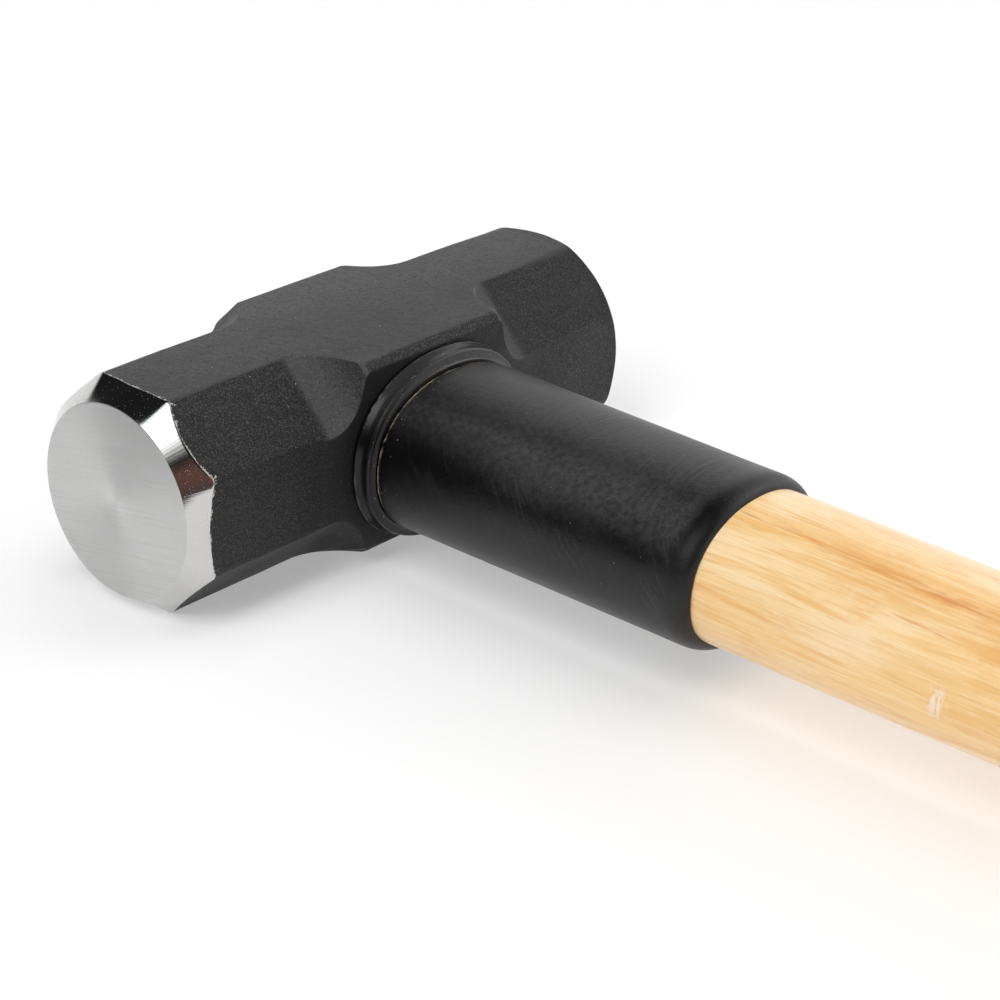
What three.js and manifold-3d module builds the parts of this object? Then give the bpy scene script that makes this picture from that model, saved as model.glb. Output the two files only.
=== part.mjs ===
// Sledgehammer with a double-faced octagonal head and a hickory handle.
//
// It lies on the side flat of its head: +Z up, X along the striking axis, the grip towards -Y.
// The origin is on the floor, straight below the middle of the eye. Millimetres.
//
// Every piece is made in the handle frame: x is the striking axis, y is up, and z is the reach,
// the distance from the middle of the eye towards the grip. The hammer group turns that frame
// into the part's own.
import * as THREE from 'three';
import { mergeVertices } from 'three/addons/utils/BufferGeometryUtils.js';
import Module from 'manifold-3d';

const wasm = await Module();
wasm.setup();

// ---- Driving dimensions -------------------------------------------------------------------

const HEAD_WIDTH = 56.5; // across the side flats; the other head sizes follow from it
const HANDLE_LENGTH = 914; // 36 in
const GAP = 0.3; // between neighbouring pieces

// Head: an octagonal bar that swells into a boss around the eye.
const HEAD = {
  length: 2.855 * HEAD_WIDTH,
  faceRadius: 0.4425 * HEAD_WIDTH, // the flat turned disc of each striking face
  bevelSlope: 1.155, // depth of the turned bevel for each unit of radius
  halfSide: 0.5 * HEAD_WIDTH, // middle to each side flat
  halfBack: 0.493 * HEAD_WIDTH, // middle to the flats across the eye, on the polls
  corner: 0.716 * HEAD_WIDTH, // |y| + |z| on the diagonal flats of the polls
};
const BOSS = {
  gripBack: 0.532 * HEAD_WIDTH, // the eye's flat stands this far from the middle, grip side
  topBack: 0.515 * HEAD_WIDTH,
  rampStart: 0.8 * HEAD_WIDTH, // where those flats begin to rise, and where they are level
  rampEnd: 0.45 * HEAD_WIDTH,
};

// The scoops between the diagonal flats and the boss: where each starts, how round it is, and the
// |y| + |z| that it rises to. The grip side's differ, as the forging is fuller above than below.
const SCOOPS = {
  gripUpper: scoop(0.675, 0.23, 1.0),
  gripLowerBack: scoop(0.644, 0.229, 0.935),
  gripLowerSide: scoop(0.607, 0.39, 0.905),
  top: scoop(0.61, 0.35, 0.885),
};
const HEAD_STEP = 0.022 * HEAD_WIDTH; // between the sections of the boss

// Oval pieces: half width along the striking axis, half height, and squareness of the oval.
const SQUARENESS = 2.17; // 2 is an ellipse, more is squarer
const OVAL_POINTS = 36;
const EYE = {
  rise: 1, // the eye's middle above the head's middle
  top: { reach: -BOSS.topBack, half: [20.3, 15.3] },
  grip: { reach: BOSS.gripBack, half: [19.0, 14.0] },
};
const TONGUE_PROUD = 1.5; // how far the tongue stands out of the top of the head

// The handle from its shoulder to its butt: reach, half width, half height.
const SHOULDER_REACH = BOSS.gripBack + 18;
const BUTT_REACH = HANDLE_LENGTH - BOSS.topBack - TONGUE_PROUD;
const HANDLE_SHAPE = [
  [SHOULDER_REACH, 23.4, 18.0],
  [130, 23.5, 18.1],
  [220, 22.8, 17.7],
  [400, 20.0, 16.2],
  [600, 17.8, 15.0],
  [760, 17.3, 14.8],
  [BUTT_REACH - 50, 18.4, 15.8],
  [BUTT_REACH - 20, 20.0, 17.2],
  [BUTT_REACH - 7, 19.6, 16.8],
];
const HANDLE_SECTIONS = 30;
const BUTT_ROUNDING = 7;

// Collar ring against the head, and the overstrike sleeve beyond it.
const COLLAR = {
  backHalf: [0.53 * HEAD_WIDTH, 0.438 * HEAD_WIDTH],
  frontReach: 0.608 * HEAD_WIDTH,
  frontHalf: [0.512 * HEAD_WIDTH, 0.425 * HEAD_WIDTH],
  lipReach: 0.624 * HEAD_WIDTH,
  lipHalf: [0.498 * HEAD_WIDTH, 0.398 * HEAD_WIDTH],
};
const SLEEVE = {
  startReach: 0.63 * HEAD_WIDTH,
  startHalf: [0.49 * HEAD_WIDTH, 0.377 * HEAD_WIDTH],
  endReach: 2.305 * HEAD_WIDTH,
  endHalf: [0.474 * HEAD_WIDTH, 0.364 * HEAD_WIDTH],
  rounding: 0.05 * HEAD_WIDTH,
};

// Wedges, driven in from the top of the head. Thickness at the driven end and at the point.
const WOOD_WEDGE = { depth: 40, thick: [6.4, 1.2] };
const STEEL_WEDGE = { width: 15, depth: 24, thick: [4.2, 0.9], proud: 0.8 };
const STEEL_WEDGE_PLACES = [
  { x: -8.2, turn: 0.42 * Math.PI },
  { x: 8.2, turn: 0.58 * Math.PI },
];

// ---- Solids -------------------------------------------------------------------------------

// A closed solid through outlines of [x, y] points, counter-clockwise, at rising z.
function loft(sections) {
  const count = sections[0].outline.length;
  const positions = [];
  const index = [];
  for (const { z, outline } of sections) {
    for (const [x, y] of outline) positions.push(x, y, z);
  }
  for (let s = 0; s < sections.length - 1; s += 1) {
    for (let i = 0; i < count; i += 1) {
      const a = s * count + i;
      const b = s * count + ((i + 1) % count);
      index.push(a, b, b + count, a, b + count, a + count);
    }
  }
  const last = (sections.length - 1) * count;
  for (let i = 1; i < count - 1; i += 1) {
    index.push(0, i + 1, i);
    index.push(last, last + i, last + i + 1);
  }
  const geometry = new THREE.BufferGeometry();
  geometry.setAttribute('position', new THREE.Float32BufferAttribute(positions, 3));
  geometry.setIndex(index);
  return geometry;
}

// A squared ellipse about the middle.
function oval([halfX, halfY]) {
  const power = 2 / SQUARENESS;
  const points = [];
  for (let i = 0; i < OVAL_POINTS; i += 1) {
    const angle = (2 * Math.PI * i) / OVAL_POINTS;
    const across = Math.cos(angle);
    const up = Math.sin(angle);
    points.push([
      halfX * Math.sign(across) * Math.abs(across) ** power,
      halfY * Math.sign(up) * Math.abs(up) ** power,
    ]);
  }
  return points;
}

function ovalLoft(stations) {
  return loft(stations.map(({ reach, half }) => ({ z: reach, outline: oval(half) })));
}

function grow(half, by) {
  return half.map((size) => size + by);
}

function solid(geometry) {
  const bare = geometry.clone();
  bare.deleteAttribute('normal');
  bare.deleteAttribute('uv');
  const merged = mergeVertices(bare, 1e-4);
  return new wasm.Manifold(
    new wasm.Mesh({
      numProp: 3,
      vertProperties: merged.attributes.position.array,
      triVerts: new Uint32Array(merged.index.array),
    }),
  );
}

function geometryOf(manifold) {
  const { vertProperties, triVerts } = manifold.getMesh();
  const indexed = new THREE.BufferGeometry();
  indexed.setAttribute('position', new THREE.BufferAttribute(vertProperties, 3));
  indexed.setIndex(new THREE.BufferAttribute(triVerts, 1));
  const geometry = indexed.toNonIndexed();
  geometry.computeVertexNormals();
  return geometry;
}

// ---- Head ---------------------------------------------------------------------------------

function scoop(start, radius, corner) {
  return { start: start * HEAD_WIDTH, radius: radius * HEAD_WIDTH, corner: corner * HEAD_WIDTH };
}

// |y| + |z| of a diagonal flat at a distance along the head: level on the poll, then a round
// scoop up to the boss.
function cornerAt(distance, { start, radius, corner }) {
  const into = Math.min(Math.max(start - distance, 0), radius);
  const rise = radius - Math.sqrt(radius ** 2 - into ** 2);
  return Math.min(HEAD.corner + rise * Math.SQRT2, corner);
}

// Height of the flat across the eye: it ramps up smoothly from the poll to the boss.
function backAt(distance, bossBack) {
  const ramp = THREE.MathUtils.smoothstep(BOSS.rampStart - distance, 0, BOSS.rampStart - BOSS.rampEnd);
  return THREE.MathUtils.lerp(HEAD.halfBack, bossBack, ramp);
}

// The octagon at one distance along the head, as [across the eye, up] points.
function headOutline(distance) {
  const side = HEAD.halfSide;
  const grip = backAt(distance, BOSS.gripBack);
  const top = backAt(distance, BOSS.topBack);
  const upper = cornerAt(distance, SCOOPS.gripUpper);
  const lowerBack = cornerAt(distance, SCOOPS.gripLowerBack);
  const lowerSide = cornerAt(distance, SCOOPS.gripLowerSide);
  const far = cornerAt(distance, SCOOPS.top);
  return [
    [top, top - far],
    [top, far - top],
    [far - side, side],
    [side - upper, side],
    [-grip, upper - grip],
    [-grip, grip - lowerBack],
    [side - lowerSide, -side],
    [far - side, -side],
  ];
}

// Where the sections stand: close together over the boss, one at each end of the head.
function headDistances() {
  const half = [0];
  for (let x = 0.3 * HEAD_WIDTH; x < BOSS.rampStart + HEAD_STEP; x += HEAD_STEP) half.push(x);
  half.push(HEAD.length / 2);
  const mirrored = half.slice(1).reverse().map((x) => -x);
  return [...mirrored, ...half];
}

// The bar's envelope: turned discs and bevels at both ends.
function turnedEnvelope() {
  const radius = HEAD_WIDTH;
  const end = HEAD.length / 2;
  const shoulder = end - (radius - HEAD.faceRadius) * HEAD.bevelSlope;
  const profile = [
    [0, -end],
    [HEAD.faceRadius, -end],
    [radius, -shoulder],
    [radius, shoulder],
    [HEAD.faceRadius, end],
    [0, end],
  ];
  const lathe = new THREE.LatheGeometry(profile.map(([r, along]) => new THREE.Vector2(r, along)), 72);
  return lathe.rotateZ(-Math.PI / 2);
}

function eyeHole() {
  const overrun = 2;
  const { top, grip } = EYE;
  return ovalLoft([
    { reach: top.reach - overrun, half: top.half },
    { reach: top.reach, half: top.half },
    { reach: grip.reach, half: grip.half },
    { reach: grip.reach + overrun, half: grip.half },
  ]);
}

function hammerHead() {
  const bar = loft(headDistances().map((x) => ({ z: x, outline: headOutline(Math.abs(x)) })));
  bar.rotateY(Math.PI / 2);
  return solid(bar).intersect(solid(turnedEnvelope())).subtract(solid(eyeHole().translate(0, EYE.rise, 0)));
}

// ---- Handle -------------------------------------------------------------------------------

// The handle's oval sections from the tongue's end to the butt.
function handleStations() {
  const tongue = [
    { reach: EYE.top.reach - TONGUE_PROUD, half: grow(EYE.top.half, -GAP) },
    { reach: EYE.top.reach, half: grow(EYE.top.half, -GAP) },
    { reach: EYE.grip.reach + 2 * GAP, half: grow(EYE.grip.half, -GAP) },
  ];
  const shape = new THREE.CatmullRomCurve3(
    HANDLE_SHAPE.map(([reach, halfX, halfY]) => new THREE.Vector3(halfX, halfY, reach)),
    false,
    'centripetal',
  );
  const body = shape.getPoints(HANDLE_SECTIONS).map((p) => ({ reach: p.z, half: [p.x, p.y] }));
  const last = body[body.length - 1];
  const butt = [0.35, 0.65, 0.85, 0.97].map((share) => ({
    reach: last.reach + BUTT_ROUNDING * share,
    half: grow(last.half, -BUTT_ROUNDING * (1 - Math.sqrt(1 - share ** 2))),
  }));
  butt.push({ reach: BUTT_REACH, half: grow(last.half, -BUTT_ROUNDING) });
  return [...tongue, ...body, ...butt];
}

// The handle's half sizes at one reach, between the two stations around it.
function handleHalfAt(reach, stations) {
  const next = stations.findIndex((station) => station.reach > reach);
  const [a, b] = [stations[next - 1], stations[next]];
  const share = (reach - a.reach) / (b.reach - a.reach);
  return a.half.map((size, i) => THREE.MathUtils.lerp(size, b.half[i], share));
}

// A wedge with its point towards the grip, its thickness along y, grown all round by a margin.
function wedge({ width, depth, thick, start, margin }) {
  const [driven, point] = thick.map((size) => size / 2 + margin);
  const flat = (thickness) => [
    [-width / 2 - margin, -thickness],
    [width / 2 + margin, -thickness],
    [width / 2 + margin, thickness],
    [-width / 2 - margin, thickness],
  ];
  return loft([
    { z: start, outline: flat(driven) },
    { z: start + depth + margin, outline: flat(point) },
  ]);
}

const TONGUE_END = EYE.top.reach - TONGUE_PROUD;

// The kerf's wedge is wider than the tongue, which then trims it.
function woodWedgeBlank(margin) {
  return solid(wedge({ ...WOOD_WEDGE, width: HEAD_WIDTH, start: TONGUE_END - margin, margin }));
}

function steelWedge({ x, turn }, margin) {
  const { proud } = STEEL_WEDGE;
  const blank = wedge({ ...STEEL_WEDGE, start: TONGUE_END - proud - margin, margin });
  return solid(blank.rotateZ(turn).translate(x, 0, 0));
}

function steelPockets() {
  return STEEL_WEDGE_PLACES.map((place) => steelWedge(place, GAP)).reduce((all, one) => all.add(one));
}

function handle() {
  return solid(ovalLoft(handleStations())).subtract(woodWedgeBlank(GAP)).subtract(steelPockets());
}

function woodWedge() {
  const tongue = solid(ovalLoft(handleStations().slice(0, 3)));
  return woodWedgeBlank(0).intersect(tongue).subtract(steelPockets());
}

// ---- Collar ring and sleeve ---------------------------------------------------------------

// The bore that clears the handle by a gap, over a stretch of reach.
function handleBore(from, to) {
  const stations = handleStations();
  const at = (reach) => ({ reach, half: handleHalfAt(reach, stations) });
  const between = stations.filter(({ reach }) => reach > from && reach < to);
  const bore = [at(from), ...between, at(to)].map(({ reach, half }) => ({ reach, half: grow(half, GAP) }));
  return solid(ovalLoft(bore));
}

function collarRing() {
  const back = BOSS.gripBack + GAP;
  const outside = ovalLoft([
    { reach: back, half: COLLAR.backHalf },
    { reach: COLLAR.frontReach, half: COLLAR.frontHalf },
    { reach: COLLAR.lipReach, half: COLLAR.lipHalf },
  ]);
  return solid(outside).subtract(handleBore(back - 1, COLLAR.lipReach + 1));
}

function overstrikeSleeve() {
  const { startReach, startHalf, endReach, endHalf, rounding } = SLEEVE;
  const stations = [{ reach: startReach, half: startHalf }];
  for (let i = 0; i <= 5; i += 1) {
    const angle = (i / 5) * 0.5 * Math.PI;
    stations.push({
      reach: endReach - rounding * (1 - Math.sin(angle)),
      half: grow(endHalf, -rounding * (1 - Math.cos(angle))),
    });
  }
  return solid(ovalLoft(stations)).subtract(handleBore(startReach - 1, endReach + 1));
}

// ---- Assembly -----------------------------------------------------------------------------

const MATERIALS = {
  coatedSteel: { color: 0x2b2c2e, roughness: 0.45, metalness: 0.3 },
  hickory: { color: 0xe6d3ad, roughness: 0.5, metalness: 0 },
  wedgeWood: { color: 0xcdb184, roughness: 0.7, metalness: 0 },
  wedgeSteel: { color: 0x8d8f92, roughness: 0.4, metalness: 0.9 },
  collarRubber: { color: 0x161719, roughness: 0.5, metalness: 0 },
  sleeveRubber: { color: 0x1b1c1e, roughness: 0.8, metalness: 0 },
};

function piece(name, manifold, finish) {
  const mesh = new THREE.Mesh(geometryOf(manifold), new THREE.MeshStandardMaterial(finish));
  mesh.name = name;
  return mesh;
}

// The pieces on the handle's own axis, which rises with the eye.
const hafting = new THREE.Group();
hafting.add(piece('handle', handle(), MATERIALS.hickory));
hafting.add(piece('collar_ring', collarRing(), MATERIALS.collarRubber));
hafting.add(piece('overstrike_sleeve', overstrikeSleeve(), MATERIALS.sleeveRubber));
hafting.add(piece('wood_wedge', woodWedge(), MATERIALS.wedgeWood));
STEEL_WEDGE_PLACES.forEach((place, i) => {
  hafting.add(piece(`steel_wedge_${i + 1}`, steelWedge(place, 0), MATERIALS.wedgeSteel));
});
hafting.position.y = EYE.rise;

const hammer = new THREE.Group();
hammer.add(piece('hammer_head', hammerHead(), MATERIALS.coatedSteel));
hammer.add(hafting);
hammer.rotation.x = Math.PI / 2;
hammer.position.z = HEAD.halfSide;

const part = new THREE.Group();
part.add(hammer);

export default part;
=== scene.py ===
"""The looks of the sledgehammer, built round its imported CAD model.

Metres, in the part's own frame: the head lies on its side flat, X is the striking axis and the
grip points towards -Y.
"""

import math

import bmesh
import bpy
import numpy as np
from mathutils import Matrix, Quaternion, Vector, noise

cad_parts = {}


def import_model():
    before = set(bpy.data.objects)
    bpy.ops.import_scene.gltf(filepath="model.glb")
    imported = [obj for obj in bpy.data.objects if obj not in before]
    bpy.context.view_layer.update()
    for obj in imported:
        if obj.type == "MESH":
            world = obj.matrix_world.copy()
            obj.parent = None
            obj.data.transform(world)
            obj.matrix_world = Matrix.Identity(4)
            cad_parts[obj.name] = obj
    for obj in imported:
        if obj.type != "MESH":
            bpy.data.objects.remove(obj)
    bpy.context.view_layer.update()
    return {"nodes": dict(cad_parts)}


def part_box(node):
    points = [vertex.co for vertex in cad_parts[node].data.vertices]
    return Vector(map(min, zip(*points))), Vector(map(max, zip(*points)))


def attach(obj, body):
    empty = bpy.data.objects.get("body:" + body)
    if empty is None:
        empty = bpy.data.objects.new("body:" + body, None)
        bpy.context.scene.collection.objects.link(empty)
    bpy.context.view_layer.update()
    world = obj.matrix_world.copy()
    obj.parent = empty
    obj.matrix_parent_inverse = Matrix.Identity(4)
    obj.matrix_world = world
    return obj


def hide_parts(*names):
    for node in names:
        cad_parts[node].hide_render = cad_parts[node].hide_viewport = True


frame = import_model()

# ---- Sizes from the frame -----------------------------------------------------------------

MM = 0.001
GAP = 0.3 * MM  # between neighbouring pieces

head_low, head_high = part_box("hammer_head")
handle_low, handle_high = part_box("handle")
collar_low, collar_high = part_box("collar_ring")
sleeve_low, sleeve_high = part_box("overstrike_sleeve")

WIDTH = head_high.z - head_low.z  # the head across its side flats
MIDDLE = WIDTH / 2  # height of the striking axis
FACE_X = head_high.x
TOP_BACK = head_high.y  # the eye's flats, on the top of the head and on the grip side
GRIP_BACK = -head_low.y
EYE_MIDDLE = (handle_low.z + handle_high.z) / 2

# ---- Mesh making --------------------------------------------------------------------------


def smoothstep(x, low, high):
    t = np.clip((x - low) / (high - low), 0, 1)
    return t * t * (3 - 2 * t)


def smooth_min(a, b, blend):
    """The smaller of two numbers, rounded off where they cross."""
    share = np.clip(0.5 + 0.5 * (b - a) / blend, 0, 1)
    return b + (a - b) * share - blend * share * (1 - share)


def loft(name, rings):
    """A closed mesh through rings of points that turn the same way, each end closed by a fan."""
    count = len(rings[0])
    middles = [np.mean(rings[0], axis=0), np.mean(rings[-1], axis=0)]
    points = np.concatenate([*rings, middles])
    first_middle = len(points) - 2
    faces = []
    for ring in range(len(rings) - 1):
        for i in range(count):
            a = ring * count + i
            b = ring * count + (i + 1) % count
            faces.append((a, b, b + count, a + count))
    last = (len(rings) - 1) * count
    for i in range(count):
        after = (i + 1) % count
        faces.append((after, i, first_middle))
        faces.append((last + i, last + after, first_middle + 1))
    return mesh_object(name, points, faces)


def mesh_object(name, points, faces):
    mesh = bpy.data.meshes.new(name)
    mesh.from_pydata([tuple(p) for p in points], [], faces)
    shape = bmesh.new()
    shape.from_mesh(mesh)
    bmesh.ops.recalc_face_normals(shape, faces=shape.faces)
    shape.to_mesh(mesh)
    shape.free()
    made = bpy.data.objects.new(name, mesh)
    bpy.context.scene.collection.objects.link(made)
    return made


def apply_modifiers(obj):
    """Puts what the modifiers make in the object's own mesh."""
    graph = bpy.context.evaluated_depsgraph_get()
    made = bpy.data.meshes.new_from_object(obj.evaluated_get(graph))
    obj.modifiers.clear()
    obj.data = made


def cut(obj, cutter, operation="DIFFERENCE"):
    modifier = obj.modifiers.new("cut", "BOOLEAN")
    modifier.operation = operation
    modifier.solver = "EXACT"
    modifier.object = cutter
    apply_modifiers(obj)
    bpy.data.objects.remove(cutter)


def shade(obj, sharp_degrees=30):
    obj.data.shade_smooth()
    obj.data.set_sharp_from_angle(angle=math.radians(sharp_degrees))


SQUARENESS = 2.17  # of every oval: 2 is an ellipse, more is squarer


def oval(y, half_x, half_z, count=96):
    """A squared ellipse across the handle's axis, at one place along it."""
    angle = np.linspace(0, 2 * math.pi, count, endpoint=False)
    across, up = np.cos(angle), np.sin(angle)
    power = 2 / SQUARENESS
    return np.stack(
        [
            half_x * np.sign(across) * np.abs(across) ** power,
            np.full(count, y),
            EYE_MIDDLE + half_z * np.sign(up) * np.abs(up) ** power,
        ],
        axis=1,
    )


def oval_loft(name, stations, count=96):
    return loft(name, [oval(y, half_x, half_z, count) for y, half_x, half_z in stations])


def oval_ring(name, profile, count=144):
    """A ring round the haft, whose section is the closed profile of (y, half width, half height)."""
    rings = [oval(y, half_x, half_z, count) for y, half_x, half_z in profile]
    faces = []
    for ring in range(len(rings)):
        after = (ring + 1) % len(rings)
        for i in range(count):
            j = (i + 1) % count
            faces.append((ring * count + i, ring * count + j, after * count + j, after * count + i))
    return mesh_object(name, np.concatenate(rings), faces)


# ---- Head ---------------------------------------------------------------------------------

FACE_RADIUS = 0.4425 * WIDTH  # the turned disc of each striking face
BEVEL_SLOPE = 1.155  # depth of the turned bevel for each unit of radius
SIDE = WIDTH / 2
POLL_BACK = 0.493 * WIDTH  # middle to the flats across the eye, on the polls
POLL_CORNER = 0.716 * WIDTH  # |y| + |z| on the diagonal flats of the polls
RAMP_START = 0.8 * WIDTH  # where the eye's flats begin to rise, and where they are level
RAMP_END = 0.45 * WIDTH
EDGE_RADIUS = 1.3 * MM  # the forging's worn edges
RIM = 0.09 * MM  # the small break of the bevel's back edge
DISC_RIM = 0.1 * MM  # the same round the disc

# Each end's corner radius where it meets the bevel, and how much further than a true cone the
# bevel reaches: on the middle of a side flat, on the middle of a flat across the eye, and towards
# the top of the head. The forging isn't quite true to its axis, so the ends differ.
END_SHAPE = {
    -1: (2.3 * MM, 2.4 * MM, 1.1 * MM, 1.0 * MM),
    1: (5.0 * MM, 0.3 * MM, 0.3 * MM, 2.2 * MM),
}

# The scoops between the diagonal flats and the boss: start, radius, |y| + |z| they rise to.
SCOOP_UPPER = (0.675 * WIDTH, 0.23 * WIDTH, 1.0 * WIDTH)
SCOOP_LOWER_BACK = (0.644 * WIDTH, 0.229 * WIDTH, 0.935 * WIDTH)
SCOOP_LOWER_SIDE = (0.607 * WIDTH, 0.39 * WIDTH, 0.905 * WIDTH)
SCOOP_TOP = (0.61 * WIDTH, 0.35 * WIDTH, 0.885 * WIDTH)
SCOOP_BLEND = 0.02 * WIDTH

EYE_TOP = (20.3 * MM, 15.3 * MM)  # half sizes of the eye at its two mouths
EYE_GRIP = (19.0 * MM, 14.0 * MM)
EYE_CHAMFER = 0.8 * MM


def corner_at(distance, scoop):
    """|y| + |z| of the diagonal flats, at one distance from the head's middle."""
    start, radius, corner = scoop
    into = np.clip(start - distance, 0, radius)
    rise = radius - np.sqrt(radius**2 - into**2)
    return smooth_min(POLL_CORNER + rise * math.sqrt(2), corner, SCOOP_BLEND)


def head_corners(distance):
    """The eight corners (y, z from the middle) of the head's section."""
    ramp = smoothstep(RAMP_START - distance, 0, RAMP_START - RAMP_END)
    grip = POLL_BACK + (GRIP_BACK - POLL_BACK) * ramp
    top = POLL_BACK + (TOP_BACK - POLL_BACK) * ramp
    upper = corner_at(distance, SCOOP_UPPER)
    lower_back = corner_at(distance, SCOOP_LOWER_BACK)
    lower_side = corner_at(distance, SCOOP_LOWER_SIDE)
    far = corner_at(distance, SCOOP_TOP)
    return [
        (top, top - far),
        (top, far - top),
        (far - SIDE, SIDE),
        (SIDE - upper, SIDE),
        (-grip, upper - grip),
        (-grip, grip - lower_back),
        (SIDE - lower_side, -SIDE),
        (far - SIDE, -SIDE),
    ]


def rounded_section(corners, radius, arc_steps=4):
    """The section's outline with round corners and the same number of points at any size."""
    corners = [Vector(c) for c in corners]
    arcs = []
    for i, corner in enumerate(corners):
        come, go = corner - corners[i - 1], corners[(i + 1) % len(corners)] - corner
        turn = -come.angle_signed(go)
        reach = min(radius * math.tan(turn / 2), 0.45 * come.length, 0.45 * go.length)
        r = reach / math.tan(turn / 2)
        come.normalize()
        outward = Vector((come.y, -come.x))
        centre = corner - come * reach - outward * r
        steps = [Matrix.Rotation(turn * k / arc_steps, 2) @ outward for k in range(arc_steps + 1)]
        arcs.append([centre + step * r for step in steps])
    outline = []
    for i, arc in enumerate(arcs):
        outline.extend(arc)
        start, end = arc[-1], arcs[(i + 1) % len(arcs)][0]
        length = (end - start).length
        hem = min(0.5 * MM / length, 0.1)
        inner = 8 if i % 2 else 14  # a diagonal flat, or a wider one
        shares = [hem + (1 - 2 * hem) * k / inner for k in range(inner + 1)]
        outline.extend(start.lerp(end, share) for share in shares)
    return np.array(outline)


def bevel_edge(outline, sign):
    """How far along the axis the bevel ends, at each point of the end's outline."""
    _, on_side, on_back, lean = END_SHAPE[sign]
    radius = np.hypot(outline[:, 0], outline[:, 1])
    across, up = np.abs(outline.T) / radius
    extra = on_side * smoothstep(up, 0.92, 1) + on_back * smoothstep(across, 0.92, 1)
    extra += lean * np.clip(outline[:, 0] / (0.25 * WIDTH), 0, 1) ** 2 * smoothstep(up, 0.5, 0.9)
    return FACE_X - BEVEL_SLOPE * (radius + extra - FACE_RADIUS)


def end_outline(sign):
    return rounded_section(head_corners(CORE_END), END_SHAPE[sign][0])


def turned_end(sign):
    """Rings of one end, from the last of the bar, over the bevel, to the middle of the disc."""
    corners = head_corners(CORE_END)
    outline = end_outline(sign)
    radius = np.hypot(outline[:, 0], outline[:, 1])
    outward = outline / radius[:, None]
    edge_x = bevel_edge(outline, sign)
    rings = []

    def add(flat, x):
        along = sign * x * np.ones(len(flat))
        rings.append(np.column_stack([along, flat[:, 0], flat[:, 1] + MIDDLE]))

    for share in np.linspace(0, 1, 18)[1:]:
        softened = EDGE_RADIUS + (END_SHAPE[sign][0] - EDGE_RADIUS) * float(smoothstep(share, 0.1, 0.9))
        add(rounded_section(corners, softened), CORE_END + (edge_x - 2 * RIM - CORE_END) * share)
    add(outline, edge_x - RIM)
    for share in (0.03, 0.1, 0.25, 0.4, 0.6, 0.8, 0.94, 0.995):
        r = radius + (FACE_RADIUS - radius) * share
        add(outward * r[:, None], edge_x + (FACE_X - edge_x) * share)
    for share in (1, 0.985, 0.9, 0.75, 0.6, 0.45, 0.3, 0.15, 0.04):
        add(outward * ((FACE_RADIUS - DISC_RIM) * share), np.full(len(outline), FACE_X))
    return rings


CORE_END = 0.85 * WIDTH  # the sections are alike beyond this
CORE_STATIONS = 90


def worn_in(points):
    """Sinks the bar's skin a little, unevenly, as a forging's is."""
    moved = points.copy()
    for i, (x, y, z) in enumerate(points):
        place = Vector((x, y, z - MIDDLE))
        broad = 0.5 + 0.5 * noise.noise(place * 55)
        fine = 0.5 + 0.5 * noise.noise(place * 210)
        depth = (0.16 * broad + 0.07 * fine) * MM
        radius = math.hypot(y, z - MIDDLE)
        room = FACE_X - BEVEL_SLOPE * (radius - FACE_RADIUS) - abs(x)
        depth *= float(smoothstep(room, 0, 3 * MM))
        moved[i, 1] -= depth * y / radius
        moved[i, 2] -= depth * (z - MIDDLE) / radius
    return moved


def forged_head():
    core = np.linspace(-CORE_END, CORE_END, CORE_STATIONS)
    rings = turned_end(-1)[::-1]
    for x in core:
        outline = rounded_section(head_corners(abs(x)), EDGE_RADIUS)
        ring = np.column_stack([np.full(len(outline), x), outline[:, 0], outline[:, 1] + MIDDLE])
        rings.append(ring)
    rings += turned_end(1)
    rings = [worn_in(ring) for ring in rings]
    head = loft("forged_head", rings)
    over = 2 * MM  # the cutter stands out past the head
    flare = EYE_CHAMFER
    cutter = oval_loft(
        "eye_cutter",
        [
            (TOP_BACK + over, *(h + flare + over for h in EYE_TOP)),
            (TOP_BACK, *(h + flare for h in EYE_TOP)),
            (TOP_BACK - flare, *EYE_TOP),
            (-GRIP_BACK + flare, *EYE_GRIP),
            (-GRIP_BACK, *(h + flare for h in EYE_GRIP)),
            (-GRIP_BACK - over, *(h + flare + over for h in EYE_GRIP)),
        ],
    )
    cut(head, cutter)
    shade(head)
    return head


# ---- Handle and what is on it -------------------------------------------------------------


def cad_profile(node):
    """(y, half width, half height) of an oval CAD node at each of its stations, along +y."""
    points = np.array([v.co for v in frame["nodes"][node].data.vertices])
    stations = []
    for y in np.unique(points[:, 1].round(6)):
        ring = points[np.abs(points[:, 1] - y) < 2e-6]
        stations.append((y, np.abs(ring[:, 0]).max(), np.abs(ring[:, 2] - EYE_MIDDLE).max()))
    return np.array(stations)


SHOULDER = -GRIP_BACK - 18 * MM  # the haft is at full size from here on
BUTT_ROUNDING = 7 * MM
EDGE_BREAK = 0.5 * MM  # round the tongue's end


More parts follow.
